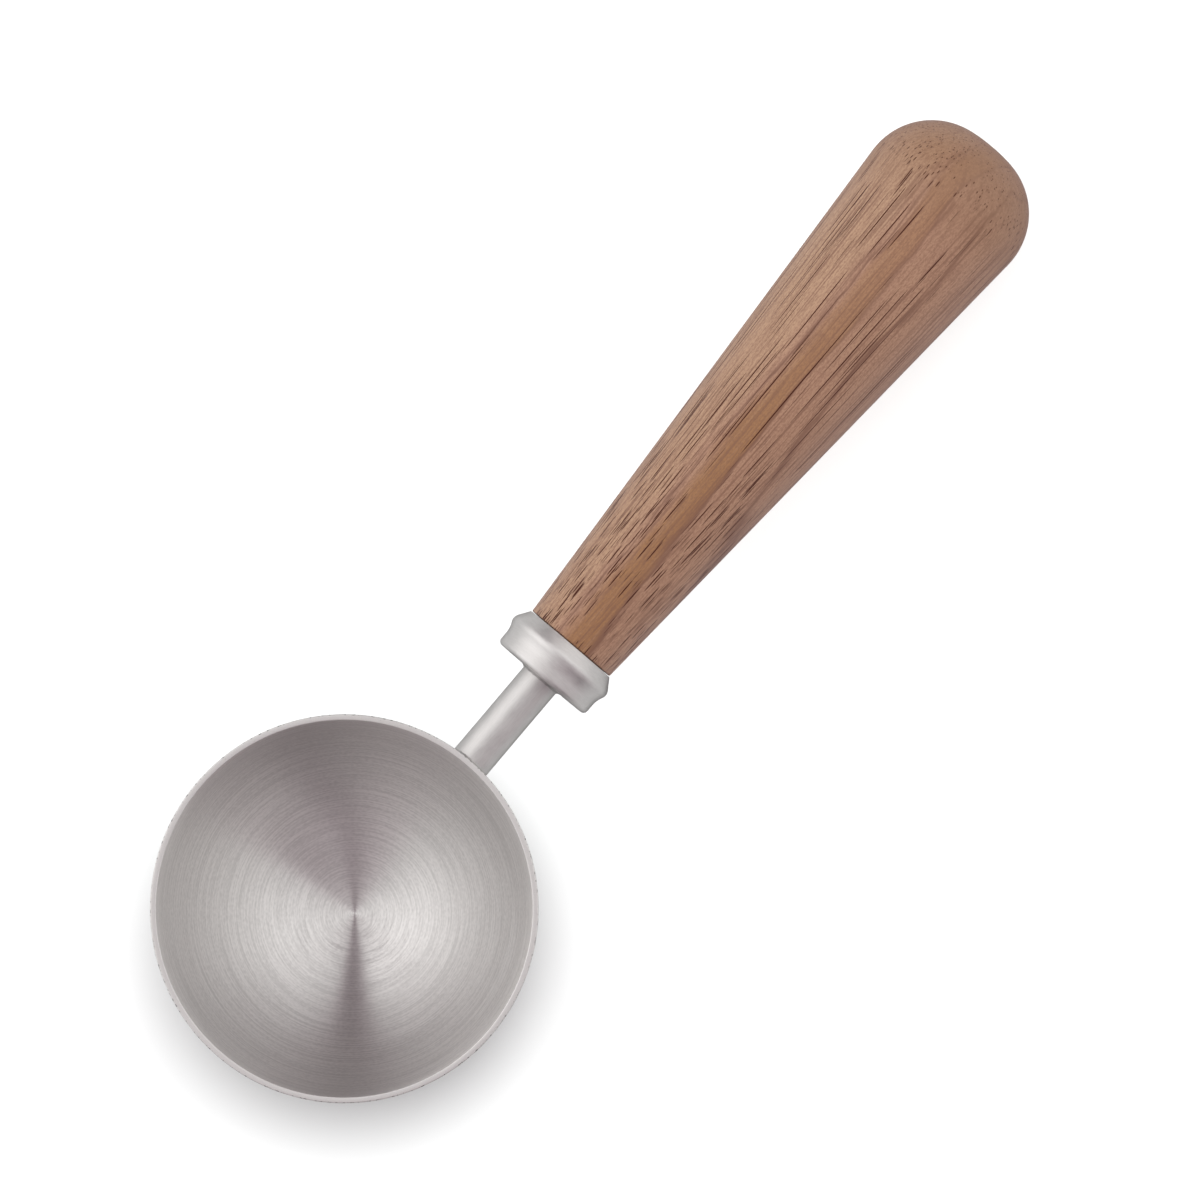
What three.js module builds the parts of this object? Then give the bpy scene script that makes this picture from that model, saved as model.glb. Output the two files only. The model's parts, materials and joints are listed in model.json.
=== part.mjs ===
// Coffee scoop: a drawn steel bowl on a round stem, a turned ferrule and a walnut handle.
// Millimetres, +Z up. The scoop lies on z = 0 as it does on a table, on the bottom of its bowl
// and on the butt of its handle, with the handle along +X.
import * as THREE from 'three';

// Bowl: a hemisphere of sheet steel, its rim ground flat
const bowlInnerRadius = 24.3;
const bowlWall = 0.8;

// Stem: a round rod that ends in a grooved tang inside the handle
const stemDiameter = 5.4;
const stemDrop = 3.5; // stem axis below the plane of the rim
const stemShowing = 14; // from the outer edge of the rim to the ferrule
const tangDiameter = 4.8;
const tangLength = 34; // inside the wood, behind the ferrule
const tangEndChamfer = 0.8;
const tangGrooveCount = 5;
const tangGrooveWidth = 2;
const tangGrooveDepth = 0.4;

// Ferrule: collar, cove and bead outside, a cup for the handle's tenon inside
const collarLength = 1.65; // from the front face to the start of the cove
const collarEdgeRadius = 0.65;
const coveRadius = 3.3;
const coveDepth = 0.5; // collar below the crest of the bead
const beadRadius = 1.2;
const beadHeight = 1.1; // crest of the bead above the lip
const beadSetback = 2.1; // from the crest of the bead to the back of the ferrule
const lipProud = 0.15; // lip above the wood that it meets
const lipWall = 1.2;
const ferruleFrontWall = 2.4;

// Handle: a straight taper that runs into a rounded butt
const handleLength = 84.2;
const neckDiameter = 13.1;
const swellDiameter = 23.1;
const buttCornerOffset = 2.05; // centre of the corner's arc off the handle's axis
const buttDomeRadius = 32;

// Glue round the tang
const glueThickness = 0.6;
const glueEndThickness = 1.2;

// Welds: how far each fillet spreads on its seat and climbs along the stem
const bowlWeldSpread = 0.4;
const bowlWeldClimb = 0.6;
const ferruleWeldSpread = 0.5;
const ferruleWeldClimb = 0.4;
const weldLeastSpread = 0.1; // where the rim leaves the fillet no more room
const weldHollow = 0.3; // depth of the fillet's curve, as a share of its legs

// Clearances between pieces that touch
const seatGap = 0.2;
const fitClearance = 0.2;

// Facets: steps round each turned piece and along each arc
const bowlSides = 64;
const bowlArcSteps = 8;
const turnedSides = 48;
const stemSides = 24;
const arcSteps = 4;
const copeRings = 4;
const filletSteps = 4;

const steel = { color: 0xb9b5b2, metalness: 1 };
const bowlSteel = new THREE.MeshStandardMaterial({ ...steel, roughness: 0.34 });
const stemSteel = new THREE.MeshStandardMaterial({ ...steel, roughness: 0.3 });
const ferruleSteel = new THREE.MeshStandardMaterial({ ...steel, roughness: 0.24 });
const weldSteel = new THREE.MeshStandardMaterial({ color: 0xa39d99, metalness: 1, roughness: 0.5 });
const walnut = new THREE.MeshStandardMaterial({ color: 0x8f6650, metalness: 0, roughness: 0.55 });
const epoxy = new THREE.MeshStandardMaterial({ color: 0xd8c79a, metalness: 0, roughness: 0.4 });

// Sizes that follow from the ones above
const bowlOuterRadius = bowlInnerRadius + bowlWall;
const stemRadius = stemDiameter / 2;
const tangRadius = tangDiameter / 2;
const stemHoleR = stemRadius + fitClearance;
const tangHoleR = tangRadius + glueThickness + 2 * fitClearance;
const neckR = neckDiameter / 2;
const lipR = neckR + lipProud;
const beadR = lipR + beadHeight;
const collarR = beadR - coveDepth;
const cupR = lipR - lipWall;
const tenonR = cupR - fitClearance;
const swellR = swellDiameter / 2;

// The cove and the bead are two arcs that turn as far out as back again
const coveTurn = Math.acos(1 - coveDepth / (beadRadius + coveRadius));
const coveRun = (beadRadius + coveRadius) * Math.sin(coveTurn);

// Stations along the handle's axis, from the middle of the bowl
const ferruleFront = bowlOuterRadius + stemShowing;
const coveFront = ferruleFront + collarLength;
const beadCrest = coveFront + coveRun;
const ferruleBack = beadCrest + beadSetback;
const cupFloor = ferruleFront + ferruleFrontWall;
const tenonFront = cupFloor + seatGap;
const woodFront = ferruleBack + seatGap;
const tangEnd = woodFront + tangLength;
const glueEnd = tangEnd + fitClearance + glueEndThickness;
const tangHoleEnd = glueEnd + fitClearance;
const handleTip = woodFront + handleLength;

// The butt is a corner arc that runs on into a flatter dome, both about points in the profile plane
const buttCornerRadius = swellR - buttCornerOffset;
const buttDomeX = handleTip - buttDomeRadius;
const buttCornerX = buttDomeX + Math.sqrt((buttDomeRadius - buttCornerRadius) ** 2 - buttCornerOffset ** 2);

// A turned piece, from a profile of radius and station, with its axis along +X
function turned(profile, sides) {
  const geometry = new THREE.LatheGeometry(profile, sides);
  geometry.rotateZ(-Math.PI / 2);
  return geometry;
}

function closed(path, steps) {
  const points = path.getPoints(steps);
  points.push(points[0].clone());
  return points;
}

function makeBowl() {
  const path = new THREE.Path();
  path.absarc(0, 0, bowlOuterRadius, -Math.PI / 2, 0, false);
  path.lineTo(bowlInnerRadius, 0);
  path.absarc(0, 0, bowlInnerRadius, 0, -Math.PI / 2, true);
  const profile = path.getPoints(bowlArcSteps);
  const geometry = new THREE.LatheGeometry(profile, bowlSides);
  geometry.rotateX(Math.PI / 2);
  return geometry;
}

// Where a point beside the stem's axis meets a sphere about the middle of the bowl
function stationOnSphere(y, z, radius) {
  return Math.sqrt(radius ** 2 - y ** 2 - (z - stemDrop) ** 2);
}

// The tang's outline from its shoulder to its end, moved out by a clearance
function tangOutline(clearance) {
  const radius = tangRadius + clearance;
  const floor = radius - tangGrooveDepth;
  const pitch = tangLength / (tangGrooveCount + 1);
  const half = tangGrooveWidth / 2 - clearance;
  const points = [];
  for (let i = 1; i <= tangGrooveCount; i += 1) {
    const middle = woodFront + i * pitch;
    points.push(new THREE.Vector2(radius, middle - half - tangGrooveDepth));
    points.push(new THREE.Vector2(floor, middle - half));
    points.push(new THREE.Vector2(floor, middle + half));
    points.push(new THREE.Vector2(radius, middle + half + tangGrooveDepth));
  }
  points.push(new THREE.Vector2(radius, tangEnd + clearance - tangEndChamfer));
  points.push(new THREE.Vector2(radius - tangEndChamfer, tangEnd + clearance));
  return points;
}

// The stem's front end is coped: its face is laid on the sphere of the bowl's outer wall
function makeStem() {
  const profile = [];
  for (let ring = 0; ring <= copeRings; ring += 1) {
    profile.push(new THREE.Vector2((stemRadius * ring) / copeRings, 0));
  }
  profile.push(new THREE.Vector2(stemRadius, cupFloor));
  profile.push(new THREE.Vector2(tangRadius, cupFloor));
  profile.push(...tangOutline(0));
  profile.push(new THREE.Vector2(0, tangEnd));
  const geometry = turned(profile, stemSides);
  const position = geometry.getAttribute('position');
  for (let i = 0; i < position.count; i += 1) {
    if (position.getX(i) < bowlInnerRadius) {
      const seat = stationOnSphere(position.getY(i), position.getZ(i), bowlOuterRadius + seatGap);
      position.setX(i, seat);
    }
  }
  geometry.computeVertexNormals();
  return geometry;
}

function makeFerrule() {
  const beadMiddleR = beadR - beadRadius;
  const toLip = new THREE.Vector2(lipR - beadMiddleR, beadSetback);
  const backSlope = toLip.angle() - Math.acos(beadRadius / toLip.length());
  const path = new THREE.Path();
  path.moveTo(stemHoleR, ferruleFront);
  path.lineTo(collarR - collarEdgeRadius, ferruleFront);
  path.absarc(collarR - collarEdgeRadius, ferruleFront + collarEdgeRadius, collarEdgeRadius, -Math.PI / 2, 0);
  path.absarc(collarR + coveRadius, coveFront, coveRadius, Math.PI, Math.PI - coveTurn, true);
  path.absarc(beadMiddleR, beadCrest, beadRadius, -coveTurn, backSlope);
  path.lineTo(lipR, ferruleBack);
  path.lineTo(cupR, ferruleBack);
  path.lineTo(cupR, cupFloor);
  path.lineTo(stemHoleR, cupFloor);
  return turned(closed(path, arcSteps), turnedSides);
}

function makeHandle() {
  const toCorner = new THREE.Vector2(buttCornerX - woodFront, buttCornerOffset - neckR);
  const taper = Math.atan2(toCorner.y, toCorner.x) + Math.asin(buttCornerRadius / toCorner.length());
  const domeStart = Math.atan2(buttCornerX - buttDomeX, buttCornerOffset);
  const path = new THREE.Path();
  path.moveTo(0, tangHoleEnd);
  path.lineTo(tangHoleR, tangHoleEnd);
  path.lineTo(tangHoleR, tenonFront);
  path.lineTo(tenonR, tenonFront);
  path.lineTo(tenonR, woodFront);
  path.lineTo(neckR, woodFront);
  path.absarc(buttCornerOffset, buttCornerX, buttCornerRadius, -taper, domeStart);
  path.absarc(0, buttDomeX, buttDomeRadius, domeStart, Math.PI / 2);
  return turned(path.getPoints(arcSteps), turnedSides);
}

// A cup of glue: round the tang, and under its end at the bottom of the hole
function makeTangGlue() {
  const outer = tangHoleR - fitClearance;
  const inside = tangOutline(fitClearance).reverse();
  const profile = [
    new THREE.Vector2(0, tangEnd + fitClearance),
    ...inside,
    new THREE.Vector2(tangRadius + fitClearance, tenonFront),
    new THREE.Vector2(outer, tenonFront),
    new THREE.Vector2(outer, glueEnd),
    new THREE.Vector2(0, glueEnd),
  ];
  return turned(profile, stemSides);
}

// A fillet round the stem. seat gives the station of the wall that it lies on, and side is the
// way that the fillet climbs from there along the stem. room limits its spread at each angle.
function makeWeld(seat, side, spread, climb, room) {
  const inner = stemRadius + fitClearance;
  const positions = [];
  const indices = [];
  let sectionSize = 0;
  for (let i = 0; i < stemSides; i += 1) {
    const angle = (2 * Math.PI * i) / stemSides;
    const reach = Math.max(Math.min(inner + spread, room(angle)), inner + weldLeastSpread);
    const at = (r) => seat(r * Math.cos(angle), r * Math.sin(angle));
    const corner = new THREE.Vector2(inner, at(inner));
    const toe = new THREE.Vector2(reach, at(reach));
    const top = new THREE.Vector2(inner, corner.y + side * climb);
    const pull = toe.clone().add(top).sub(corner).sub(corner).multiplyScalar(weldHollow).add(corner);
    const section = [corner, ...new THREE.QuadraticBezierCurve(toe, pull, top).getPoints(filletSteps)];
    sectionSize = section.length;
    for (const point of section) {
      positions.push(point.y, point.x * Math.cos(angle), point.x * Math.sin(angle));
    }
  }
  for (let i = 0; i < stemSides; i += 1) {
    for (let j = 0; j < sectionSize; j += 1) {
      const here = i * sectionSize;
      const next = ((i + 1) % stemSides) * sectionSize;
      const k = (j + 1) % sectionSize;
      const [a, b] = side > 0 ? [next + j, here + k] : [here + k, next + j];
      indices.push(here + j, a, next + k, here + j, next + k, b);
    }
  }
  const geometry = new THREE.BufferGeometry();
  geometry.setAttribute('position', new THREE.Float32BufferAttribute(positions, 3));
  geometry.setIndex(indices);
  geometry.computeVertexNormals();
  return geometry;
}

function makeBowlWeld() {
  const seat = (y, z) => stationOnSphere(y, z, bowlOuterRadius + seatGap);
  const room = (angle) => (Math.sin(angle) > 0 ? stemDrop / Math.sin(angle) : Infinity);
  return makeWeld(seat, 1, bowlWeldSpread, bowlWeldClimb, room);
}

function makeFerruleWeld() {
  const seat = () => ferruleFront - seatGap;
  return makeWeld(seat, -1, ferruleWeldSpread, ferruleWeldClimb, () => Infinity);
}

function named(name, geometry, material) {
  const mesh = new THREE.Mesh(geometry, material);
  mesh.name = name;
  return mesh;
}

// Everything turned about the stem's axis hangs below the rim by the stem's drop
const onStemAxis = new THREE.Group();
onStemAxis.position.z = -stemDrop;
onStemAxis.add(named('stem', makeStem(), stemSteel));
onStemAxis.add(named('bowl_weld', makeBowlWeld(), weldSteel));
onStemAxis.add(named('ferrule_weld', makeFerruleWeld(), weldSteel));
onStemAxis.add(named('ferrule', makeFerrule(), ferruleSteel));
onStemAxis.add(named('tang_glue', makeTangGlue(), epoxy));
onStemAxis.add(named('handle', makeHandle(), walnut));

// At rest the round of the bowl and the corner arc of the butt touch the same plane
const buttBelowRim = stemDrop + buttCornerOffset;
const lie =
  Math.asin((bowlOuterRadius - buttCornerRadius) / Math.hypot(buttCornerX, buttBelowRim)) -
  Math.atan2(buttBelowRim, buttCornerX);
const lying = new THREE.Group();
lying.rotation.y = lie;
lying.add(named('bowl', makeBowl(), bowlSteel));
lying.add(onStemAxis);

// The origin is the middle of the scoop's footprint
const box = new THREE.Box3().setFromObject(lying, true);
lying.position.set(-(box.min.x + box.max.x) / 2, -(box.min.y + box.max.y) / 2, -box.min.z);
const scoop = new THREE.Group();
scoop.add(lying);

export default scoop;
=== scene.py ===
"""Looks of the coffee scoop: fine pieces, finishes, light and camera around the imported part.

Lengths are in metres unless a comment says millimetres, and +Z is up.
"""

import json
import math

import bmesh
import bpy
from mathutils import Matrix, Vector


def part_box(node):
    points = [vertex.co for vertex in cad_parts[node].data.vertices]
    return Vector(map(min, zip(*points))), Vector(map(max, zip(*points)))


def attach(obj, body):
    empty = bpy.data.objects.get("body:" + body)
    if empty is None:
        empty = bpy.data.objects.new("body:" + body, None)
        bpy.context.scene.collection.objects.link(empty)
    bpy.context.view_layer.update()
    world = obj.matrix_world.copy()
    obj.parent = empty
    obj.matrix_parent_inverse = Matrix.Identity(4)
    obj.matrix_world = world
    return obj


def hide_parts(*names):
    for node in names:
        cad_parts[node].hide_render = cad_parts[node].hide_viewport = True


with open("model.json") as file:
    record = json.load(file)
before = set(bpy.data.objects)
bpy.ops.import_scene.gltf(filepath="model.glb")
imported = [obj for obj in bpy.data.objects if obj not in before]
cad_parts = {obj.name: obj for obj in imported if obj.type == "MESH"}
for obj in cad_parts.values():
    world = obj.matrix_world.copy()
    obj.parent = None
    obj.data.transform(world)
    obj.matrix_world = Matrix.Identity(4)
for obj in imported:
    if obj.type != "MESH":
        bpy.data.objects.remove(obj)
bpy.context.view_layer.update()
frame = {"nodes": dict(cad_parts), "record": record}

MM = 0.001
STRAIGHT = math.pi / 2

# Bowl: the wall's thickness and the small round on both edges of the rim
WALL = 0.8 * MM
RIM_EDGE = 0.12 * MM
POLISH = 0.02 * MM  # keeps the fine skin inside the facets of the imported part

# Stem: how deep its coped end sinks into the bowl's wall, and the grooved tang
SINK = 0.3 * MM
TANG_RADIUS = 2.4 * MM
TANG_GROOVES = 5
TANG_GROOVE_WIDTH = 2 * MM
TANG_GROOVE_DEPTH = 0.4 * MM
TANG_CHAMFER = 0.8 * MM

# Ferrule: collar, cove, bead and lip
COLLAR_LENGTH = 1.65 * MM
COLLAR_EDGE = 0.65 * MM
COVE_RADIUS = 3.3 * MM
COVE_DEPTH = 0.5 * MM
BEAD_RADIUS = 1.2 * MM
BEAD_HEIGHT = 1.1 * MM
LIP_WALL = 1.2 * MM
FRONT_WALL = 2.4 * MM

# Handle: neck, corner and dome of the butt
LIP_PROUD = 0.15 * MM
JOINT_GAP = 0.12 * MM
WOOD_EDGE = 0.15 * MM
BUTT_OFFSET = 2.05 * MM
BUTT_RADIUS = 9.5 * MM
DOME_RADIUS = 32 * MM
FIT = 0.2 * MM

# Welds: spread on the seat and climb along the stem, how hollow the section is, and its ripples
BOWL_WELD = (0.3 * MM, 0.3 * MM)
FERRULE_WELD = (0.75 * MM, 0.35 * MM)
WELD_HOLLOW = 0.3
WELD_RIPPLES = 17
WELD_RIPPLE_SHARE = 0.08

# Facets
BOWL_SIDES = 288
BOWL_STEPS = 72
TURNED_SIDES = 192
ARC_STEPS = 14
BUTT_STEPS = 42
ROUND_STEPS = 5
WOOD_EDGE_STEPS = 4
TAPER_RINGS = 48
COPE_RINGS = 4
WELD_STEPS = 5
SHARP_DEGREES = 35

# Camera, in the bowl's axes: place, aim and the turn about the line of sight
CAMERA_PLACE = Vector((24.12, -85.6, 1400)) * MM
CAMERA_AIM = Vector((51.76, 0.76, -3.5)) * MM
CAMERA_ROLL = -0.869
CAMERA_LENS = 326.2  # millimetres
CAMERA_SENSOR = 36  # millimetres
CAMERA_REACH = 20

# Light: how bright the room is at each hour of the picture's clock, high up and low down
HOURS = 12
ROOM_HIGH = (
    (0.0, 0.15),
    (0.12, 0.26),
    (0.36, 1.2),
    (1.0, 1.42),
    (2.0, 1.52),
    (3.0, 1.2),
    (3.6, 0.98),
    (3.9, 0.88),
    (4.2, 0.36),
    (4.7, 0.42),
    (5.4, 0.62),
    (6.0, 0.38),
    (7.1, 0.72),
    (8.2, 1.28),
    (9.0, 1.66),
    (9.8, 1.88),
    (10.6, 1.82),
    (11.2, 1.68),
    (11.5, 1.55),
    (11.82, 0.24),
    (12.0, 0.15),
)
ROOM_LOW = (
    (0.0, 0.02),
    (0.4, 0.05),
    (0.85, 0.7),
    (1.4, 1.1),
    (2.2, 1.25),
    (3.0, 1.2),
    (3.8, 0.95),
    (4.6, 0.55),
    (5.3, 0.1),
    (6.0, 0.04),
    (7.1, 0.42),
    (8.2, 1.0),
    (9.0, 1.3),
    (9.8, 1.5),
    (10.5, 1.4),
    (10.95, 1.1),
    (11.25, 0.6),
    (11.55, 0.05),
    (12.0, 0.02),
)
ROOM_BANDS = (0.2, 0.7)  # how steep a ray is where the low band ends and the high band begins
ROOM_TOP = (0.86, 0.99)  # how steep a ray is where the dimmer part overhead begins and is full
ROOM_TOP_SHARE = 0.55
ROOM_TINTS = (0.0, 0.5)  # how bright the room is where it has its dark tint and its bright tint
ROOM_DARK = (1.24, 0.93, 1.06)
ROOM_BRIGHT = (1.01, 1.0, 0.995)
TOP_LIGHT_DISTANCE = 1.2
TOP_LIGHT_SIZE = 0.62
TOP_LIGHT_LEAN = 12  # degrees
TOP_LIGHT_HOUR = 0.8
TOP_LIGHT_POWER = 4.3
TABLE_LIGHT_POWER = 9.2

# Table: half its side, its tones, and the painted shade in the steel: the share of the tones that
# steel shows within a near distance and beyond a far one
FLOOR_HALF = 2.0
FLOOR_TONES = ((0.69, 0.705, 0.703), (0.71, 0.725, 0.723))
FLOOR_NEAR = (20 * MM, 28 * MM)
FLOOR_SHADE_NEAR = 0.05
FLOOR_SHADE_FAR = 0.6


def axes(origin, x, y, z):
    """A place whose own X, Y and Z axes lie along x, y and z."""
    turn = Matrix((x, y, z)).transposed().to_4x4()
    return Matrix.Translation(origin) @ turn


def bowl_place():
    """The bowl's own axes: its middle, +X along the handle, +Z out of its mouth."""
    rim = next(m for m in frame["record"]["mounts"] if m["name"] == "bowl_rim")
    up = Vector(rim["axis"]).normalized()
    across = Vector((0, 1, 0))
    middle = Vector((rim["pos_m"][0], 0, rim["pos_m"][2]))
    return axes(middle, across.cross(up), across, up)


def corners(node, place):
    """The points of a CAD node, seen from a place."""
    inverse = place.inverted()
    return [inverse @ v.co for v in frame["nodes"][node].data.vertices]


def stem_place():
    """The stem's axes: from under the bowl's middle, +Z along the handle, +Y out of the mouth."""
    heights = [p.z for p in corners("ferrule", bowl_axes)]
    drop = (min(heights) + max(heights)) / 2
    along, across, up = (bowl_axes.to_3x3().col[i] for i in range(3))
    return axes(bowl_axes @ Vector((0, 0, drop)), across, up, along)


def reach(node):
    """First station, last station and widest radius of a CAD node about the stem's axis."""
    points = corners(node, stem_axes)
    stations = [p.z for p in points]
    return min(stations), max(stations), max(math.hypot(p.x, p.y) for p in points)


bowl_axes = bowl_place()
stem_axes = stem_place()

bowl_low, bowl_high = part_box("bowl")
stem_low, stem_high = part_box("stem")
bowl_outer = (bowl_high.y - bowl_low.y) / 2 - POLISH
bowl_inner = bowl_outer + POLISH - WALL
stem_radius = (stem_high.y - stem_low.y) / 2
stem_drop = -(bowl_axes.inverted() @ stem_axes.translation).z
tang_end = reach("stem")[1]
ferrule_front, ferrule_back, bead_top = reach("ferrule")
lip_radius = bead_top - BEAD_HEIGHT
neck_radius = lip_radius - LIP_PROUD
cup_floor = ferrule_front + FRONT_WALL
wood_front = ferrule_back + JOINT_GAP
handle_tip = reach("handle")[1] - POLISH


def arc(middle, radius, start, end, steps=ARC_STEPS):
    """Points (radius, station) on an arc about a middle, from one angle to another."""
    turns = [start + (end - start) * i / steps for i in range(steps + 1)]
    return [(middle[0] + radius * math.cos(a), middle[1] + radius * math.sin(a)) for a in turns]


def show(name, mesh, place, node, finishes):
    """Puts a finished mesh in the scene as the piece that stands for a CAD node."""
    mesh.transform(place)
    mesh.shade_smooth()
    mesh.set_sharp_from_angle(angle=math.radians(SHARP_DEGREES))
    for finish in finishes:
        mesh.materials.append(finish)
    piece = bpy.data.objects.new(name, mesh)
    bpy.context.scene.collection.objects.link(piece)
    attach(piece, "root")
    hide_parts(node)
    return piece


def skin(name, rings, zones=None, closed=False):
    """A mesh over rings of points; one point alone is a pole. zones gives each band's finish."""
    shape = bmesh.new()
    rows = [[shape.verts.new(p) for p in ring] for ring in rings]
    pairs = list(zip(rows, rows[1:]))
    if closed:
        pairs.append((rows[-1], rows[0]))
    for band, (a, b) in enumerate(pairs):
        sides = max(len(a), len(b))
        for k in range(sides):
            after = (k + 1) % sides
            painted_shade = [a[0]] if len(a) == 1 else [a[k], a[after]]
            far = [b[0]] if len(b) == 1 else [b[after], b[k]]
            face = shape.faces.new(painted_shade + far)
            face.material_index = zones[band] if zones else 0
    bmesh.ops.recalc_face_normals(shape, faces=shape.faces)
    mesh = bpy.data.meshes.new(name)
    shape.to_mesh(mesh)
    shape.free()
    return mesh


def spin(outline, sides):
    """Rings of points: an outline of (radius, station) turned about Z."""
    rings = []
    for radius, station in outline:
        count = sides if radius > 0 else 1
        turns = [2 * math.pi * k / sides for k in range(count)]
        rings.append([(radius * math.cos(t), radius * math.sin(t), station) for t in turns])
    return rings


def make_bowl(inside, rim, edge, outside):
    """The cup: brushed inside, flat rim with two small rounds, brushed outside."""
    inner_round = math.sqrt((bowl_inner + RIM_EDGE) ** 2 - RIM_EDGE**2)
    outer_round = math.sqrt((bowl_outer - RIM_EDGE) ** 2 - RIM_EDGE**2)
    inner_turn = math.atan2(RIM_EDGE, inner_round)
    outer_turn = math.atan2(RIM_EDGE, outer_round)
    parts = [
        [(0, -bowl_inner)] + arc((0, 0), bowl_inner, -STRAIGHT, -inner_turn, BOWL_STEPS)[1:-1],
        arc((inner_round, -RIM_EDGE), RIM_EDGE, math.pi - inner_turn, STRAIGHT, ROUND_STEPS),
        arc((outer_round, -RIM_EDGE), RIM_EDGE, STRAIGHT, -outer_turn, ROUND_STEPS),
        arc((0, 0), bowl_outer, -outer_turn, -STRAIGHT, BOWL_STEPS)[1:-1] + [(0, -bowl_outer)],
    ]
    zones = [zone for zone, part in enumerate(parts) for _ in part]
    outline = [point for part in parts for point in part]
    mesh = skin("bowl_skin", spin(outline, BOWL_SIDES), zones)
    return show("fine_bowl", mesh, bowl_axes, "bowl", [inside, rim, edge, outside])


def on_bowl(x, y, radius):
    """Station where a line beside the stem's axis meets a sphere about the bowl's middle."""
    return math.sqrt(radius**2 - x**2 - (y - stem_drop) ** 2)


def tang_outline():
    """The grooved tang, from its shoulder to its end."""
    pitch = (tang_end - wood_front) / (TANG_GROOVES + 1)
    floor = TANG_RADIUS - TANG_GROOVE_DEPTH
    half = TANG_GROOVE_WIDTH / 2
    points = [(TANG_RADIUS, cup_floor)]
    for i in range(TANG_GROOVES):
        middle = wood_front + (i + 1) * pitch
        points.append((TANG_RADIUS, middle - half - TANG_GROOVE_DEPTH))
        points.append((floor, middle - half))
        points.append((floor, middle + half))
        points.append((TANG_RADIUS, middle + half + TANG_GROOVE_DEPTH))
    points.append((TANG_RADIUS, tang_end - TANG_CHAMFER))
    points.append((TANG_RADIUS - TANG_CHAMFER, tang_end))
    return points + [(0, tang_end)]


def make_stem(finish):
    """The rod: its coped end follows the bowl's wall, and its tang runs on inside the handle."""
    rings = spin([(stem_radius * i / COPE_RINGS, 0) for i in range(COPE_RINGS + 1)], TURNED_SIDES)
    coped = [[(x, y, on_bowl(x, y, bowl_outer - SINK)) for x, y, _ in ring] for ring in rings]
    shaft = spin([(stem_radius, cup_floor)] + tang_outline(), TURNED_SIDES)
    mesh = skin("stem_skin", coped + shaft)
    show("fine_stem", mesh, stem_axes, "stem", [finish])


def ferrule_outline():
    """Front face, collar, cove, bead and sloping back, then the cup for the tenon."""
    collar = bead_top - COVE_DEPTH
    cove_turn = math.acos(1 - COVE_DEPTH / (BEAD_RADIUS + COVE_RADIUS))
    cove_front = ferrule_front + COLLAR_LENGTH
    crest = cove_front + (BEAD_RADIUS + COVE_RADIUS) * math.sin(cove_turn)
    bead_middle = bead_top - BEAD_RADIUS
    to_lip = Vector((lip_radius - bead_middle, ferrule_back - crest))
    back_slope = math.atan2(to_lip.y, to_lip.x) - math.acos(BEAD_RADIUS / to_lip.length)
    cup = lip_radius - LIP_WALL
    corner = (collar - COLLAR_EDGE, ferrule_front + COLLAR_EDGE)
    lip = (lip_radius - RIM_EDGE, ferrule_back - RIM_EDGE)
    points = [(stem_radius + POLISH, cup_floor), (stem_radius + POLISH, ferrule_front)]
    points += arc(corner, COLLAR_EDGE, -STRAIGHT, 0)
    points += arc((collar + COVE_RADIUS, cove_front), COVE_RADIUS, math.pi, math.pi - cove_turn)
    points += arc((bead_middle, crest), BEAD_RADIUS, -cove_turn, back_slope)[1:]
    points += arc(lip, RIM_EDGE, back_slope, STRAIGHT, ROUND_STEPS)
    return points + [(cup, ferrule_back), (cup, cup_floor)]


def make_ferrule(finish):
    """The turned collar between stem and wood."""
    mesh = skin("ferrule_skin", spin(ferrule_outline(), TURNED_SIDES), closed=True)
    show("fine_ferrule", mesh, stem_axes, "ferrule", [finish])


def handle_outline():
    """Hole for the tang, tenon, neck, straight taper, corner and dome of the butt."""
    glue_end, glue_radius = reach("tang_glue")[1:]
    hole_end = glue_end + FIT
    hole_radius = glue_radius + FIT
    tenon_front = cup_floor + FIT
    tenon_radius = lip_radius - LIP_WALL - FIT
    dome_middle = handle_tip - DOME_RADIUS
    corner = dome_middle + math.sqrt((DOME_RADIUS - BUTT_RADIUS) ** 2 - BUTT_OFFSET**2)
    run = Vector((corner - wood_front, BUTT_OFFSET - neck_radius))
    taper = math.atan2(run.y, run.x) + math.asin(BUTT_RADIUS / run.length)
    dome_start = math.atan2(corner - dome_middle, BUTT_OFFSET)
    neck_middle = (neck_radius - WOOD_EDGE, wood_front + WOOD_EDGE)
    neck = arc(neck_middle, WOOD_EDGE, -STRAIGHT, -taper, WOOD_EDGE_STEPS)
    butt = arc((BUTT_OFFSET, corner), BUTT_RADIUS - POLISH, -taper, dome_start, BUTT_STEPS)
    first = Vector(neck[-1])
    last = Vector(butt[0])
    side = [tuple(first.lerp(last, i / TAPER_RINGS)) for i in range(1, TAPER_RINGS)]
    dome = arc((0, dome_middle), DOME_RADIUS, dome_start, STRAIGHT)[1:-1]
    hole = [(0, hole_end), (hole_radius, hole_end), (hole_radius, tenon_front)]
    tenon = [(tenon_radius, tenon_front), (tenon_radius, wood_front)]
    return hole + tenon + neck + side + butt + dome + [(0, handle_tip)]


def make_handle(finish):
    """The walnut grip."""
    mesh = skin("handle_skin", spin(handle_outline(), TURNED_SIDES))
    show("fine_handle", mesh, stem_axes, "handle", [finish])


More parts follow.
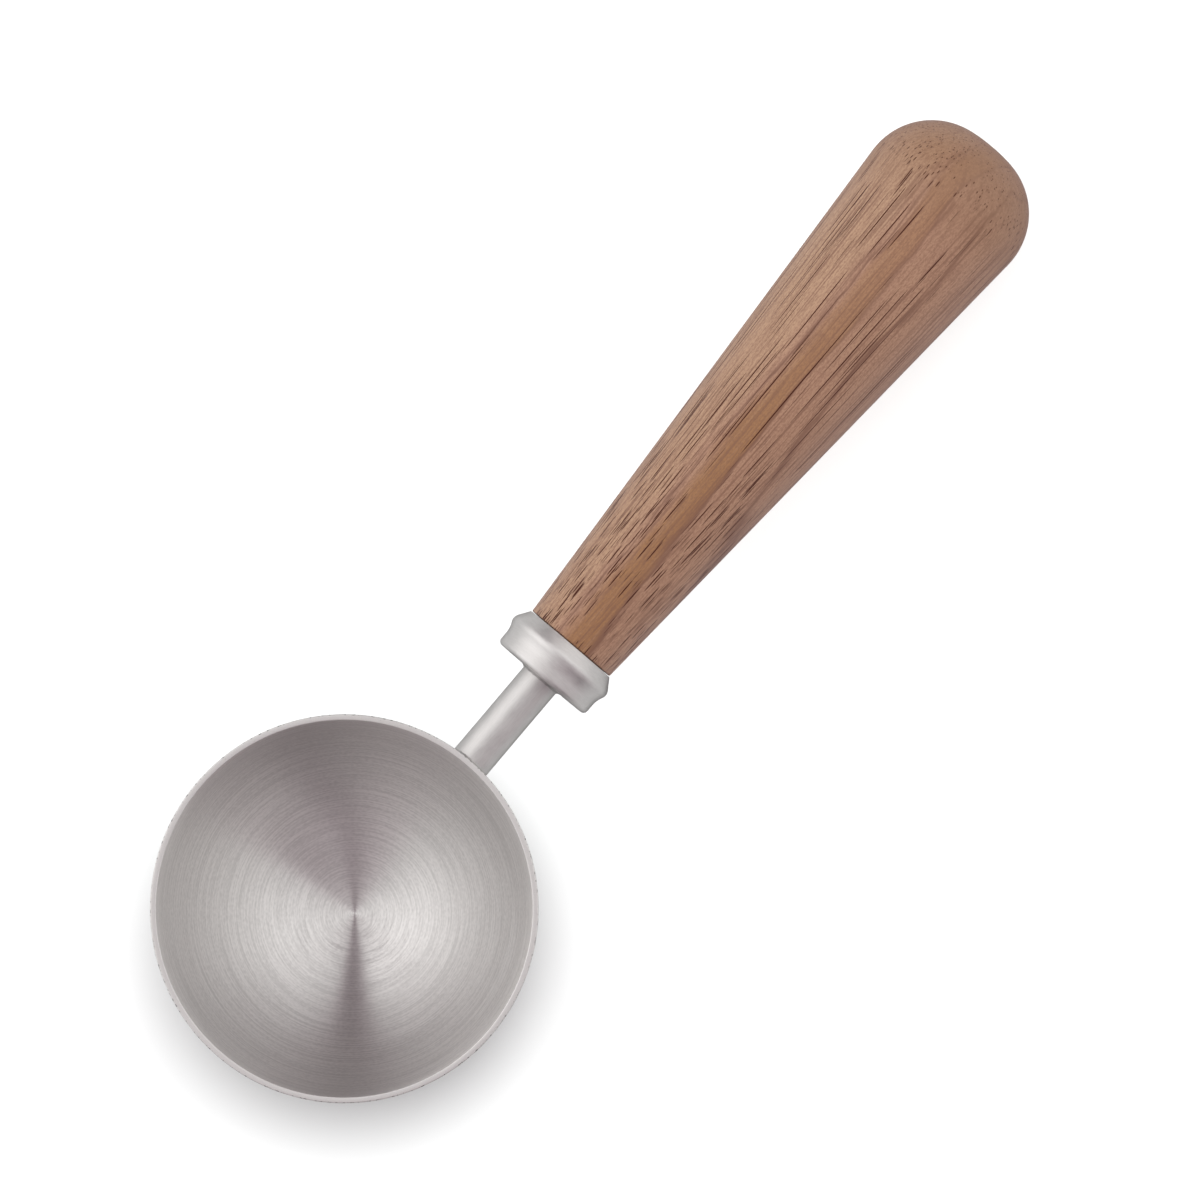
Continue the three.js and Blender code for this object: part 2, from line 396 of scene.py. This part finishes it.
def weld_rings(seat, side, size, room):
    """Sections of a hollow fillet round the stem, one ring for each step up the section."""
    spread, climb = size
    inner = stem_radius - POLISH
    steps = [i / WELD_STEPS for i in range(WELD_STEPS + 1)]
    sections = []
    for k in range(TURNED_SIDES):
        angle = 2 * math.pi * k / TURNED_SIDES
        x = math.cos(angle)
        y = math.sin(angle)
        ripple = 1 + WELD_RIPPLE_SHARE * math.sin(WELD_RIPPLES * angle)
        outer = min(inner + spread * ripple, room(angle))
        corner, toe = (Vector((r, seat(r * x, r * y))) for r in (inner, outer))
        top = corner + Vector((0, side * climb * ripple))
        pull = corner + (toe + top - 2 * corner) * WELD_HOLLOW
        curve = [toe * (1 - t) ** 2 + pull * 2 * t * (1 - t) + top * t**2 for t in steps]
        sections.append([(p.x * x, p.x * y, p.y) for p in [corner] + curve])
    return [list(ring) for ring in zip(*sections)]


def make_welds(finish):
    """The fillets that hold the stem to the bowl and to the ferrule."""

    def below_rim(angle):
        """How far out from the stem's axis the plane of the rim is."""
        return stem_drop / math.sin(angle) if math.sin(angle) > 0 else math.inf

    on_wall = weld_rings(lambda x, y: on_bowl(x, y, bowl_outer - POLISH), 1, BOWL_WELD, below_rim)
    on_face = weld_rings(
        lambda x, y: ferrule_front + POLISH, -1, FERRULE_WELD, lambda angle: math.inf
    )
    for node, rings in (("bowl_weld", on_wall), ("ferrule_weld", on_face)):
        mesh = skin(node + "_skin", rings, closed=True)
        show("fine_" + node, mesh, stem_axes, node, [finish])


class Nodes:
    """A node tree of a material or the room, with one short call for each kind of step."""

    def __init__(self, owner):
        owner.use_nodes = True
        self.owner = owner
        self.tree = owner.node_tree
        self.tree.nodes.clear()

    def add(self, kind, inputs, **settings):
        """A new node; each of its inputs gets a value, or a link from another node."""
        node = self.tree.nodes.new(kind)
        for key, value in settings.items():
            setattr(node, key, value)
        for key, value in inputs.items():
            if isinstance(value, bpy.types.NodeSocket):
                self.tree.links.new(value, node.inputs[key])
            else:
                node.inputs[key].default_value = value
        return node

    def maths(self, operation, a, b=0.0, c=0.0):
        return self.add("ShaderNodeMath", {0: a, 1: b, 2: c}, operation=operation).outputs[0]

    def spot(self, place):
        """Where a point is in a place's own axes, in millimetres."""
        inputs = {
            "Vector": self.add("ShaderNodeTexCoord", {}).outputs["Object"],
            "Location": place.translation,
            "Rotation": place.to_euler(),
            "Scale": (MM, MM, MM),
        }
        return self.add("ShaderNodeMapping", inputs, vector_type="TEXTURE").outputs[0]

    def round_axis(self, place):
        """The direction round a place's Z axis at each point."""
        spot = self.add("ShaderNodeTexCoord", {}).outputs["Object"]
        out = self.vectors("SUBTRACT", spot, place.translation)
        return self.vectors("CROSS_PRODUCT", place.to_3x3().col[2], out)

    def along(self, a, b):
        """How far one vector reaches along another."""
        node = self.add("ShaderNodeVectorMath", {0: a, 1: b}, operation="DOT_PRODUCT")
        return node.outputs["Value"]

    def vectors(self, operation, a, b):
        return self.add("ShaderNodeVectorMath", {0: a, 1: b}, operation=operation).outputs[0]

    def scaled(self, vector, by):
        return self.vectors("MULTIPLY", vector, by)

    def split(self, vector):
        return self.add("ShaderNodeSeparateXYZ", {0: vector}).outputs

    def join(self, x, y, z):
        return self.add("ShaderNodeCombineXYZ", {0: x, 1: y, 2: z}).outputs[0]

    def noise(self, vector, scale=1.0, detail=2.0, roughness=0.5):
        inputs = {"Vector": vector, "Scale": scale, "Detail": detail, "Roughness": roughness}
        return self.add("ShaderNodeTexNoise", inputs).outputs[0]

    def spread(self, value, low, high, to_low=0.0, to_high=1.0):
        """Lays the range low to high on another range, and holds the ends."""
        inputs = {
            "Value": value,
            "From Min": low,
            "From Max": high,
            "To Min": to_low,
            "To Max": to_high,
        }
        return self.add("ShaderNodeMapRange", inputs).outputs[0]

    def ramp(self, value, stops):
        """Colours along a value; stops are (value, colour) from the lowest to the highest."""
        node = self.add("ShaderNodeValToRGB", {"Fac": value})
        points = node.color_ramp.elements
        for position, colour in stops[1:-1]:
            points.new(position).color = (*colour, 1)
        for end in (0, -1):
            points[end].position = stops[end][0]
            points[end].color = (*stops[end][1], 1)
        return node.outputs[0]

    def mix(self, share, a, b):
        """A colour between a and b. In this node colours are inputs 6 and 7, and output 2."""
        return self.add("ShaderNodeMix", {0: share, 6: a, 7: b}, data_type="RGBA").outputs[2]

    def tinted(self, share, base, colour):
        """A base with a share of one plain colour over it."""
        return self.mix(share, base, (*colour, 1))

    def bump(self, height, distance, strength):
        inputs = {"Height": height, "Distance": distance, "Strength": strength}
        return self.add("ShaderNodeBump", inputs).outputs[0]

    def finish(self, inputs):
        """Ends a material with one shader."""
        shader = self.add("ShaderNodeBsdfPrincipled", inputs)
        self.add("ShaderNodeOutputMaterial", {"Surface": shader.outputs[0]})
        return self.owner


# Most of a noise lies between a low and a high level
NOISE_LOW = 0.3
NOISE_MIDDLE = 0.5
NOISE_HIGH = 0.7

STEEL_TINT = (1.025, 1.0, 0.985)
ACROSS_LINES = 0.25  # a quarter turn, which draws the light out across the brushing

# Brushed rings: how often scratches repeat round the bowl and from ring to ring, and the levels of
# noise where they begin and are full; reliefs are a depth and a strength
LONG_SCRATCHES = (1.3, 1.3, 4.6)
SHORT_SCRATCHES = (2.2, 2.2, 4.2)
SHORT_SHARE = 0.5
SCRATCH_LEVELS = (0.55, 0.95)
DEEP_SHIFT = (9.0, 9.0, 0.0)
DEEP_SCALE = 1.2
DEEP_LEVELS = (0.62, 0.7)
DEEP_ROUGHNESS = 0.06
RING_RELIEF = (0.003 * MM, 0.5)
POLE = 0.05  # millimetres from the bowl's axis where directions round it stop

# Ground rim: (level of noise, share of the shade) and how softly a dark speck ends
RIM_TONES = ((0.25, 0.92), (0.75, 1.05))
RIM_SPECK_EDGE = 0.08
RIM_ROUGHNESS = (0.34, 0.48)
RIM_RELIEF = (0.02 * MM, 0.4)

# Satin steel: shares of fine lines and of soft clouds, and how much they change shade and roughness
SATIN_LINES = 0.6
SATIN_CLOUDS = 0.4
SATIN_SHADES = (0.88, 1.08)
SATIN_ROUGHNESS = (0.85, 1.15)
SATIN_RELIEF = (0.01 * MM, 0.35)


def grey(value):
    """A steel colour: a grey that is a little warm."""
    return tuple(value * share for share in STEEL_TINT)


def brushed_rings(name, shade, roughness, sheen, contrast):
    """Steel brushed round the bowl's axis: fine broken rings, and light drawn out across them."""
    n = Nodes(bpy.data.materials.new(name))
    x, y, z = n.split(n.spot(bowl_axes))
    radius = n.maths("SQRT", n.maths("ADD", n.maths("MULTIPLY", x, x), n.maths("MULTIPLY", y, y)))
    polar = n.maths("ARCTAN2", radius, n.maths("MULTIPLY", z, -1))
    ring = n.maths("MULTIPLY", polar, bowl_inner / MM)
    off_pole = n.maths("MAXIMUM", radius, POLE)
    turn = n.join(n.maths("DIVIDE", x, off_pole), n.maths("DIVIDE", y, off_pole), ring)
    turn = n.scaled(turn, LONG_SCRATCHES)
    long = n.noise(turn, detail=1.0)
    short = n.noise(n.scaled(n.join(x, y, ring), SHORT_SCRATCHES), detail=0.0)
    deep = n.noise(n.vectors("ADD", turn, DEEP_SHIFT), DEEP_SCALE, detail=0.0)
    lines = n.spread(n.maths("MULTIPLY_ADD", short, SHORT_SHARE, long), *SCRATCH_LEVELS)
    scratch = n.spread(deep, *DEEP_LEVELS)
    tones = [(0.0, grey(shade * (1 - contrast))), (1.0, grey(shade * (1 + contrast)))]
    return n.finish(
        {
            "Base Color": n.ramp(lines, tones),
            "Metallic": 1.0,
            "Roughness": n.maths("MULTIPLY_ADD", scratch, DEEP_ROUGHNESS, roughness),
            "Anisotropic": sheen,
            "Anisotropic Rotation": ACROSS_LINES,
            "Tangent": n.round_axis(bowl_axes),
            "Normal": n.bump(lines, *RING_RELIEF),
        }
    )


def ground_rim(name, shade, dark, specks_from):
    """Steel ground flat: pale, with dark specks; on the outer edge of the rim they are painted
    shade.
    """
    n = Nodes(bpy.data.materials.new(name))
    spot = n.spot(bowl_axes)
    specks = n.noise(spot, scale=2.2, detail=4.0, roughness=0.7)
    fine = n.noise(spot, scale=9.0)
    dark_share = n.spread(specks, specks_from, specks_from + RIM_SPECK_EDGE)
    base = n.ramp(fine, [(level, grey(shade * share)) for level, share in RIM_TONES])
    return n.finish(
        {
            "Base Color": n.tinted(dark_share, base, grey(dark)),
            "Metallic": 1.0,
            "Roughness": n.spread(fine, NOISE_LOW, NOISE_HIGH, *RIM_ROUGHNESS),
            "Normal": n.bump(specks, *RIM_RELIEF),
        }
    )


def satin_steel(name, shade, roughness, grain, sheen):
    """Steel with a fine grain, scaled by grain in the stem's X, Y and Z.

    sheen draws the light out along the stem.
    """
    n = Nodes(bpy.data.materials.new(name))
    spot = n.spot(stem_axes)
    lines = n.noise(n.scaled(spot, grain), detail=3.0, roughness=0.6)
    cloud = n.noise(spot, scale=0.5)
    line_share = n.maths("MULTIPLY", lines, SATIN_LINES)
    cloud_share = n.maths("MULTIPLY", cloud, SATIN_CLOUDS)
    both = n.maths("ADD", line_share, cloud_share)
    darkest, palest = (grey(shade * share) for share in SATIN_SHADES)
    smoothest, roughest = (roughness * share for share in SATIN_ROUGHNESS)
    return n.finish(
        {
            "Base Color": n.ramp(both, [(NOISE_LOW, darkest), (NOISE_HIGH, palest)]),
            "Metallic": 1.0,
            "Roughness": n.spread(both, NOISE_LOW, NOISE_HIGH, smoothest, roughest),
            "Anisotropic": sheen,
            "Anisotropic Rotation": ACROSS_LINES,
            "Tangent": n.round_axis(stem_axes),
            "Normal": n.bump(lines, *SATIN_RELIEF),
        }
    )


# Grain: how steeply its layers rise along the handle at the neck, how much more per millimetre,
# how fast its fibres spread with the taper, how far they wander from a straight line, and how often
GRAIN_RISE = 0.01
GRAIN_BEND = 0.00024
GRAIN_FAN = 0.000075
GRAIN_WANDER = 0.3
WANDER_REPEAT = (0.08, 0.08, 0.05)

# Colours of the wood
TAN = (0.378, 0.232, 0.146)
BROWN = (0.34, 0.195, 0.128)
AMBER = (0.272, 0.137, 0.062)
BUTT = (0.225, 0.122, 0.07)
UMBER = (0.17, 0.082, 0.054)
PORE = (0.055, 0.013, 0.006)

# Growth layers across the handle, as (share of the way from its left side to its right, colour)
LAYERS = (
    (0.0, TAN),
    (0.31, TAN),
    (0.385, BROWN),
    (0.395, UMBER),
    (0.405, BROWN),
    (0.46, AMBER),
    (0.55, AMBER),
    (0.58, UMBER),
    (0.6, BROWN),
    (0.74, BROWN),
    (0.755, UMBER),
    (0.775, BROWN),
    (1.0, BROWN),
)
LAYER_LEAN = (-0.97, 0.24)  # shares of the handle's X and Y
LAYER_SPAN = (-9.0, 13.0)  # millimetres
LAYER_WANDER = 6.0  # millimetres
LAYER_REPEAT = (0.14, 0.14, 0.024)

# The amber streak: its layer, how far from it the streak begins and is full, the millimetres behind
# the neck where it begins and ends to fade, and how much of it goes
AMBER_LAYER = 0.51
AMBER_EDGE = (0.09, 0.05)
AMBER_FADE = (35, 65)
AMBER_LOSS = 0.45

# Marks in the wood: how often they repeat per millimetre, and (from level, to level of the noise,
# from strength, to strength)
STREAK_REPEAT = (3.0, 3.0, 0.012)
FIBRE_REPEAT = (5.0, 5.0, 0.2)
SPECK_REPEAT = (6.5, 6.5, 2.6)
DARK_STREAKS = (0.53, 0.63, 0.0, 0.6)
PALE_STREAKS = (0.48, 0.3, 0.0, 0.3)
DARK_FIBRES = (0.45, 0.68, 0.0, 0.35)
DARK_SPECKS = (0.42, 0.64, 0.0, 0.42)

# End grain: millimetres before the tip where it begins and is full, its tint and how much fainter
# its pores are
END_BEGINS = 15
END_FULL = 5
END_TINT = 0.65
END_FAINT = 0.3

# Pores: (cell in millimetres, width as a share of it), where they crowd, and how few there are in
# darker layers
COARSE_PORES = ((0.26, 0.26, 44.0), 0.36)
SMALL_PORES = ((0.18, 0.18, 30.0), 0.32)
SMALL_SHARE = 0.6
SMALL_DEPTH = 0.65
PORE_EDGE = 0.8
CROWD_REPEAT = (0.3, 0.3, 0.03)
CROWDS = (0.35, 0.6, 0.6, 1.0)
PALE_PORES = (0.38, 0.5, 1.0, 0.75)
AMBER_PORES = 0.5

# Surface of the wood
WOOD_ROUGHNESS = (0.42, 0.56)
PORE_ROUGHNESS = 0.4
FIBRE_HEIGHT = 0.2
WOOD_RELIEF = (0.06 * MM, 0.6)

GLUE_DARK = (0.5, 0.36, 0.16)
GLUE_PALE = (0.66, 0.52, 0.28)
GLUE_ROUGHNESS = (0.3, 0.5)


def walnut_grain(n):
    """The handle's own X, Y and Z, bent so that the grain rises towards the butt."""
    x, y, z = n.split(n.spot(stem_axes))
    run = n.maths("SUBTRACT", z, wood_front / MM)
    rise = n.maths("MULTIPLY", run, n.maths("MULTIPLY_ADD", run, GRAIN_BEND, GRAIN_RISE))
    return n.join(x, n.maths("SUBTRACT", y, rise), z)


def walnut_fibres(n):
    """The handle's X, Y and Z, drawn in as its fibres spread with the taper; and how far."""
    x, y, z = n.split(n.spot(stem_axes))
    run = n.maths("SUBTRACT", z, wood_front / MM)
    fan = n.maths("MULTIPLY_ADD", n.maths("MULTIPLY", run, run), GRAIN_FAN, 1.0)
    height = n.maths("MULTIPLY_ADD", run, -GRAIN_RISE, y)
    straight = n.join(n.maths("DIVIDE", x, fan), n.maths("DIVIDE", height, fan), z)
    inputs = {"Vector": n.scaled(straight, WANDER_REPEAT), "Scale": 1.0, "Detail": 1.0}
    wander = n.add("ShaderNodeTexNoise", inputs).outputs["Color"]
    bend = n.vectors("SUBTRACT", wander, [NOISE_MIDDLE] * 3)
    return n.vectors("ADD", straight, n.scaled(bend, (GRAIN_WANDER, GRAIN_WANDER, 0.0))), fan


def walnut_layers(n, grain):
    """Light and dark layers along the handle, with wandering edges; and each point's layer."""
    x, y, _ = n.split(grain)
    noise = n.noise(n.scaled(grain, LAYER_REPEAT), detail=4.0, roughness=0.6)
    wander = n.maths("MULTIPLY", n.maths("SUBTRACT", noise, NOISE_MIDDLE), LAYER_WANDER)
    lean_x = n.maths("MULTIPLY", x, LAYER_LEAN[0])
    lean_y = n.maths("MULTIPLY", y, LAYER_LEAN[1])
    lean = n.maths("ADD", lean_x, lean_y)
    layer = n.spread(n.maths("ADD", lean, wander), *LAYER_SPAN)
    return n.ramp(layer, LAYERS), layer


def walnut_pores(n, fibres, fan, pores, share):
    """Open pores: thin tubes along the fibres, cut to dashes on the side, to dots on the butt."""
    cell, size = pores
    cells = n.scaled(fibres, tuple(1 / length for length in cell))
    inputs = {"Vector": cells, "Scale": 1.0, "Randomness": 1.0}
    tubes = n.add("ShaderNodeTexVoronoi", inputs, feature="F1").outputs
    chosen = n.maths("LESS_THAN", n.split(tubes["Color"])[0], share)
    width = n.maths("MULTIPLY", tubes["Distance"], fan)
    return n.maths("MULTIPLY", n.spread(width, size, size * PORE_EDGE), chosen)


def walnut(name):
    """Oiled walnut: layers, fibres and pores as one solid pattern."""
    n = Nodes(bpy.data.materials.new(name))
    fibres, fan = walnut_fibres(n)
    base, layer = walnut_layers(n, walnut_grain(n))
    station = n.split(fibres)[2]
    neck = wood_front / MM
    tip = handle_tip / MM

    amber = n.spread(n.maths("ABSOLUTE", n.maths("SUBTRACT", layer, AMBER_LAYER)), *AMBER_EDGE)
    fade = n.spread(station, neck + AMBER_FADE[0], neck + AMBER_FADE[1], 0.0, AMBER_LOSS)
    base = n.tinted(n.maths("MULTIPLY", amber, fade), base, BROWN)

    streak = n.noise(n.scaled(fibres, STREAK_REPEAT), detail=2.0, roughness=0.6)
    fibre = n.noise(n.scaled(fibres, FIBRE_REPEAT), detail=1.0, roughness=0.6)
    speck = n.noise(n.scaled(fibres, SPECK_REPEAT), detail=1.0, roughness=0.6)
    base = n.tinted(n.spread(streak, *DARK_STREAKS), base, UMBER)
    base = n.tinted(n.spread(streak, *PALE_STREAKS), base, TAN)
    base = n.tinted(n.spread(fibre, *DARK_FIBRES), base, UMBER)
    base = n.tinted(n.spread(speck, *DARK_SPECKS), base, UMBER)

    end = n.spread(station, tip - END_BEGINS, tip - END_FULL)
    base = n.tinted(n.maths("MULTIPLY", end, END_TINT), base, BUTT)

    crowd = n.noise(n.scaled(fibres, CROWD_REPEAT), detail=1.0)
    open_wood = n.maths("MULTIPLY_ADD", amber, -AMBER_PORES, n.spread(layer, *PALE_PORES))
    share = n.maths("MULTIPLY", n.spread(crowd, *CROWDS), open_wood)
    coarse = walnut_pores(n, fibres, fan, COARSE_PORES, share)
    small = walnut_pores(n, fibres, fan, SMALL_PORES, n.maths("MULTIPLY", share, SMALL_SHARE))
    pores = n.maths("MAXIMUM", coarse, n.maths("MULTIPLY", small, SMALL_DEPTH))
    depth = n.maths("MULTIPLY_ADD", end, -END_FAINT, 1.0)

    relief = n.maths("SUBTRACT", n.maths("MULTIPLY", fibre, FIBRE_HEIGHT), pores)
    satin = n.spread(fibre, NOISE_LOW, NOISE_HIGH, *WOOD_ROUGHNESS)
    return n.finish(
        {
            "Base Color": n.tinted(n.maths("MULTIPLY", pores, depth), base, PORE),
            "Roughness": n.maths("MULTIPLY_ADD", pores, PORE_ROUGHNESS, satin),
            "Specular IOR Level": 0.28,
            "Sheen Weight": 0.12,
            "Sheen Roughness": 0.4,
            "Sheen Tint": (0.88, 0.84, 1.0, 1),
            "Normal": n.bump(relief, *WOOD_RELIEF),
        }
    )


def epoxy(name):
    """Cured adhesive, cloudy amber."""
    n = Nodes(bpy.data.materials.new(name))
    cloud = n.noise(n.spot(stem_axes), scale=0.4)
    return n.finish(
        {
            "Base Color": n.ramp(cloud, [(NOISE_LOW, GLUE_DARK), (NOISE_HIGH, GLUE_PALE)]),
            "Roughness": n.spread(cloud, NOISE_LOW, NOISE_HIGH, *GLUE_ROUGHNESS),
        }
    )


def floor_paint(name):
    """Pale table top. In the steel it is painted darker, darkest close under the steel: painted
    shade.
    """
    n = Nodes(bpy.data.materials.new(name))
    cloud = n.noise(n.spot(Matrix()), scale=0.002)
    white = n.ramp(cloud, list(zip((NOISE_LOW, NOISE_HIGH), FLOOR_TONES)))
    path = n.add("ShaderNodeLightPath", {}).outputs
    # Painted shade: glossy rays see the table darker, darkest within the near distance, as the
    # shade under the scoop would look in the steel.
    painted_shade = n.spread(path["Ray Length"], *FLOOR_NEAR, FLOOR_SHADE_NEAR, FLOOR_SHADE_FAR)
    shaded_in_steel = n.mix(painted_shade, (0, 0, 0, 1), white)
    return n.finish(
        {
            "Base Color": n.mix(path["Is Glossy Ray"], white, shaded_in_steel),
            "Roughness": 0.95,
            "Specular IOR Level": 0.0,
        }
    )


def make_floor():
    """A plain white table top."""
    square = [(-1, -1), (1, -1), (1, 1), (-1, 1)]
    mesh = bpy.data.meshes.new("table_top")
    mesh.from_pydata([(x * FLOOR_HALF, y * FLOOR_HALF, 0) for x, y in square], [], [(0, 1, 2, 3)])
    mesh.materials.append(floor_paint("white_table"))
    floor = bpy.data.objects.new("floor", mesh)
    bpy.context.scene.collection.objects.link(floor)
    return floor


def make_camera():
    """Nearly overhead, far off with a long lens, turned so that the handle points up to the right.

    Returns the directions to the right of the picture and to its top.
    """
    sight = (CAMERA_AIM - CAMERA_PLACE).normalized()
    right = sight.cross(Vector((0, 1, 0))).normalized()
    up = right.cross(sight)
    turned_right = right * math.cos(CAMERA_ROLL) + up * math.sin(CAMERA_ROLL)
    turned_up = up * math.cos(CAMERA_ROLL) - right * math.sin(CAMERA_ROLL)
    lens = bpy.data.cameras.new("camera")
    lens.lens = CAMERA_LENS
    lens.sensor_width = CAMERA_SENSOR
    lens.clip_end = CAMERA_REACH
    camera = bpy.data.objects.new("camera", lens)
    bpy.context.scene.collection.objects.link(camera)
    camera.matrix_world = bowl_axes @ axes(CAMERA_PLACE, turned_right, turned_up, -sight)
    bpy.context.scene.camera = camera
    return bowl_axes.to_3x3() @ turned_right, bowl_axes.to_3x3() @ turned_up


def make_room(right, up):
    """Soft light all round the table, dimmer straight overhead; the camera sees plain white.

    The light is strong at the left and right of the picture, and weak above and below.
    """
    n = Nodes(bpy.data.worlds.new("room"))
    ray = n.add("ShaderNodeTexCoord", {}).outputs["Generated"]
    turn = n.maths("ARCTAN2", n.along(ray, right), n.along(ray, up))
    clock = n.maths("FRACT", n.maths("MULTIPLY_ADD", turn, 0.5 / math.pi, 1.0))
    brightest = max(level for _, level in ROOM_HIGH + ROOM_LOW)

    def round_clock(band):
        """A band's light at each hour, as a share of the brightest."""
        return n.ramp(clock, [(hour / HOURS, [level / brightest] * 3) for hour, level in band])

    steep = n.split(ray)[2]
    share = n.mix(n.spread(steep, *ROOM_BANDS), round_clock(ROOM_LOW), round_clock(ROOM_HIGH))
    share = n.maths("MULTIPLY", share, n.spread(steep, *ROOM_TOP, 1.0, ROOM_TOP_SHARE))
    seen = n.add("ShaderNodeLightPath", {}).outputs["Is Camera Ray"]
    clear = n.maths("MAXIMUM", n.spread(share, *ROOM_TINTS), seen)
    tint = n.mix(clear, (*ROOM_DARK, 1), (*ROOM_BRIGHT, 1))
    strength = n.maths("MAXIMUM", n.maths("MULTIPLY", share, brightest), seen)
    light = n.add("ShaderNodeBackground", {"Color": tint, "Strength": strength})
    n.add("ShaderNodeOutputWorld", {"Surface": light.outputs[0]})
    bpy.context.scene.world = n.owner


def group(name, piece):
    """A group with one piece, for a light to fall on or to be held off by."""
    members = bpy.data.collections.new(name)
    members.objects.link(piece)
    return members


def make_lamp(name, power, towards):
    """A large round lamp that the steel does not show.

    Returns the settings of what it lights and what blocks it.
    """
    data = bpy.data.lights.new(name, "AREA")
    data.shape = "DISK"
    data.size = TOP_LIGHT_SIZE
    data.energy = power
    light = bpy.data.objects.new(name, data)
    bpy.context.scene.collection.objects.link(light)
    light.location = towards * TOP_LIGHT_DISTANCE
    light.rotation_euler = towards.to_track_quat("Z", "Y").to_euler()
    light.visible_camera = False
    light.visible_glossy = False
    return light.light_linking


def make_studio(right, up, bowl, floor):
    """The room, a lamp for the scoop and one for the table; only the bowl throws their shadow."""
    flat_right = Vector((right.x, right.y, 0)).normalized()
    flat_up = Vector((up.x, up.y, 0)).normalized()
    make_room(flat_right, flat_up)
    hour = 2 * math.pi * TOP_LIGHT_HOUR / HOURS
    lean = math.radians(TOP_LIGHT_LEAN)
    side = flat_right * math.sin(hour) + flat_up * math.cos(hour)
    towards = side * math.sin(lean) + Vector((0, 0, math.cos(lean)))
    caster = group("shadow_caster", bowl)
    make_lamp("top_light", TOP_LIGHT_POWER, towards).blocker_collection = caster
    table = make_lamp("table_light", TABLE_LIGHT_POWER, towards)
    table.blocker_collection = caster
    table.receiver_collection = group("table_only", floor)


bpy.context.scene.view_settings.view_transform = "Standard"

bowl = make_bowl(
    brushed_rings("bowl_inside", shade=0.63, roughness=0.295, sheen=1.0, contrast=0.105),
    ground_rim("bowl_rim", shade=0.62, dark=0.36, specks_from=0.66),
    # On the outer edge the dark specks are painted shade, a broken dark outline along the rim.
    ground_rim("bowl_edge", shade=0.62, dark=0.16, specks_from=0.53),
    brushed_rings("bowl_outside", shade=0.58, roughness=0.36, sheen=0.6, contrast=0.09),
)
make_stem(satin_steel("stem_satin", shade=0.55, roughness=0.46, grain=(6.0, 6.0, 0.8), sheen=0.0))
make_ferrule(
    satin_steel("ferrule_polish", shade=0.615, roughness=0.5, grain=(1.0, 1.0, 8.0), sheen=0.3)
)
make_welds(satin_steel("weld_bead", shade=0.5, roughness=0.45, grain=(3.0, 3.0, 3.0), sheen=0.0))
make_handle(walnut("walnut_oiled"))
frame["nodes"]["tang_glue"].data.materials.clear()
frame["nodes"]["tang_glue"].data.materials.append(epoxy("glue_amber"))
make_studio(*make_camera(), bowl, make_floor())
